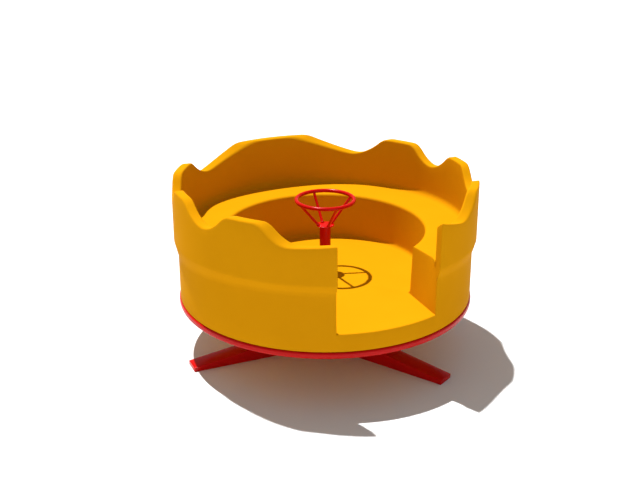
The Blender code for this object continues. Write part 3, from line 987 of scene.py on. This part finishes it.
# %% Post and cap
POST_SPIN_STEPS = 64
CAP_ROUNDING = 0.0022
CAP_STEPS = 4
post_low, post_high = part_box("centre_post")
cap_low, cap_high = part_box("post_cap")
post = spun([
    (0, post_low.z), (post_radius, post_low.z), (post_radius, post_high.z), (0, post_high.z)],
    POST_SPIN_STEPS, closed=False)
finished("centre_post_tube", post, "base", RED, ["centre_post"])
cap_corner = cap_high.x - CAP_ROUNDING
cap = spun([
    (0, cap_low.z), *arc(cap_corner, cap_low.z + CAP_ROUNDING, CAP_ROUNDING, -90, 0, CAP_STEPS),
    *arc(cap_corner, cap_high.z - CAP_ROUNDING, CAP_ROUNDING, 0, 90, CAP_STEPS), (0, cap_high.z)],
    POST_SPIN_STEPS, closed=False)
finished("post_cap_turned", cap, "base", RED, ["post_cap"])

# %% [markdown]
# ## Hand wheel
#
# The riders pull themselves round with this wheel: a 20 mm steel rod bent into a ring, on four leaning
# spokes of 14 mm rod. The ring is a circle, spun. Each spoke is a cylinder, sliced near both ends so that
# they can flare a little, as weld metal does where it runs out on the ring and on the cap, and it is
# turned to its slope last.

# %% Ring and spokes
WHEEL_SPIN_STEPS = 120
WHEEL_TUBE_SIDES = 24
SPOKE_COUNT = 4
SPOKE_SIDES = 24
SPOKE_RADIUS = 0.007
SPOKE_FOOT_RADIUS = 0.036
SPOKE_SINK = 0.001    # how far a spoke's foot reaches into the cap
SPOKE_STOP = 0.6      # share of the ring's tube radius by which a spoke ends short of the tube's middle
FLARE = 1.45
FLARE_LENGTH = 0.006
FLARE_ROWS = (0.35, 1.0)    # where the flare has rows of points, as shares of its length
ring_low, ring_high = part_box("wheel_ring")
tube_radius = (ring_high.z - ring_low.z) / 2
ring_height = (ring_high.z + ring_low.z) / 2
ring_radius = ring_high.x - tube_radius
ring = spun(circle(ring_radius, ring_height, tube_radius, WHEEL_TUBE_SIDES), WHEEL_SPIN_STEPS)
finished("wheel_ring_rod", ring, "base", RED, ["wheel_ring"])


def spoke_rod(foot, head):
    """Rod with flared ends between two points."""
    along = head - foot
    length = along.length
    bm = bmesh.new()
    bmesh.ops.create_cone(
        bm, cap_ends=True, segments=SPOKE_SIDES, radius1=SPOKE_RADIUS, radius2=SPOKE_RADIUS, depth=length)
    rows = [FLARE_LENGTH * share - length / 2 for share in FLARE_ROWS]
    for height in (*rows, *[-row for row in rows]):
        bmesh.ops.bisect_plane(
            bm, geom=[*bm.verts, *bm.edges, *bm.faces], dist=MERGE_DISTANCE,
            plane_co=(0, 0, height), plane_no=(0, 0, 1))
    for vert in bm.verts:
        from_end = length / 2 - abs(vert.co.z)
        widen = 1.0 + (FLARE - 1.0) * max(0.0, 1.0 - from_end / FLARE_LENGTH) ** 2
        vert.co.x *= widen
        vert.co.y *= widen
    turn = along.to_track_quat("Z", "Y").to_matrix().to_4x4()
    bmesh.ops.transform(bm, matrix=Matrix.Translation((head + foot) / 2) @ turn, verts=bm.verts)
    return bm


for number in range(SPOKE_COUNT):
    out = direction(360.0 * number / SPOKE_COUNT)
    foot = out * SPOKE_FOOT_RADIUS + Vector((0, 0, cap_high.z - SPOKE_SINK))
    middle = out * ring_radius + Vector((0, 0, ring_height))
    head = middle - (middle - foot).normalized() * tube_radius * SPOKE_STOP
    spoke_nodes = [f"wheel_spoke_{number + 1}"]
    spoke = spoke_rod(foot, head)
    finished(f"wheel_spoke_rod_{number + 1}", spoke, "base", RED, spoke_nodes)

# %% [markdown]
# ## Floor bush
#
# A black plastic ring closes the gap between the tub's floor and the post. It is turned, with a rounded
# upper corner so that bare feet don't catch on it, and a small chamfer at the top of its bore.

# %% Bush
BUSH_ROUNDING = 0.005
BUSH_STEPS = 5
BUSH_CHAMFER = 0.001
bush_low, bush_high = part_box("floor_bush")
bush_corner = bush_high.x - BUSH_ROUNDING
bush = spun([
    (bore, bush_low.z), (bush_high.x, bush_low.z),
    *arc(bush_corner, bush_high.z - BUSH_ROUNDING, BUSH_ROUNDING, 0, 90, BUSH_STEPS),
    (bore + BUSH_CHAMFER, bush_high.z), (bore, bush_high.z - BUSH_CHAMFER)], TURNED_STEPS)
finished("floor_bush_turned", bush, "turntable", BLACK, ["floor_bush"])
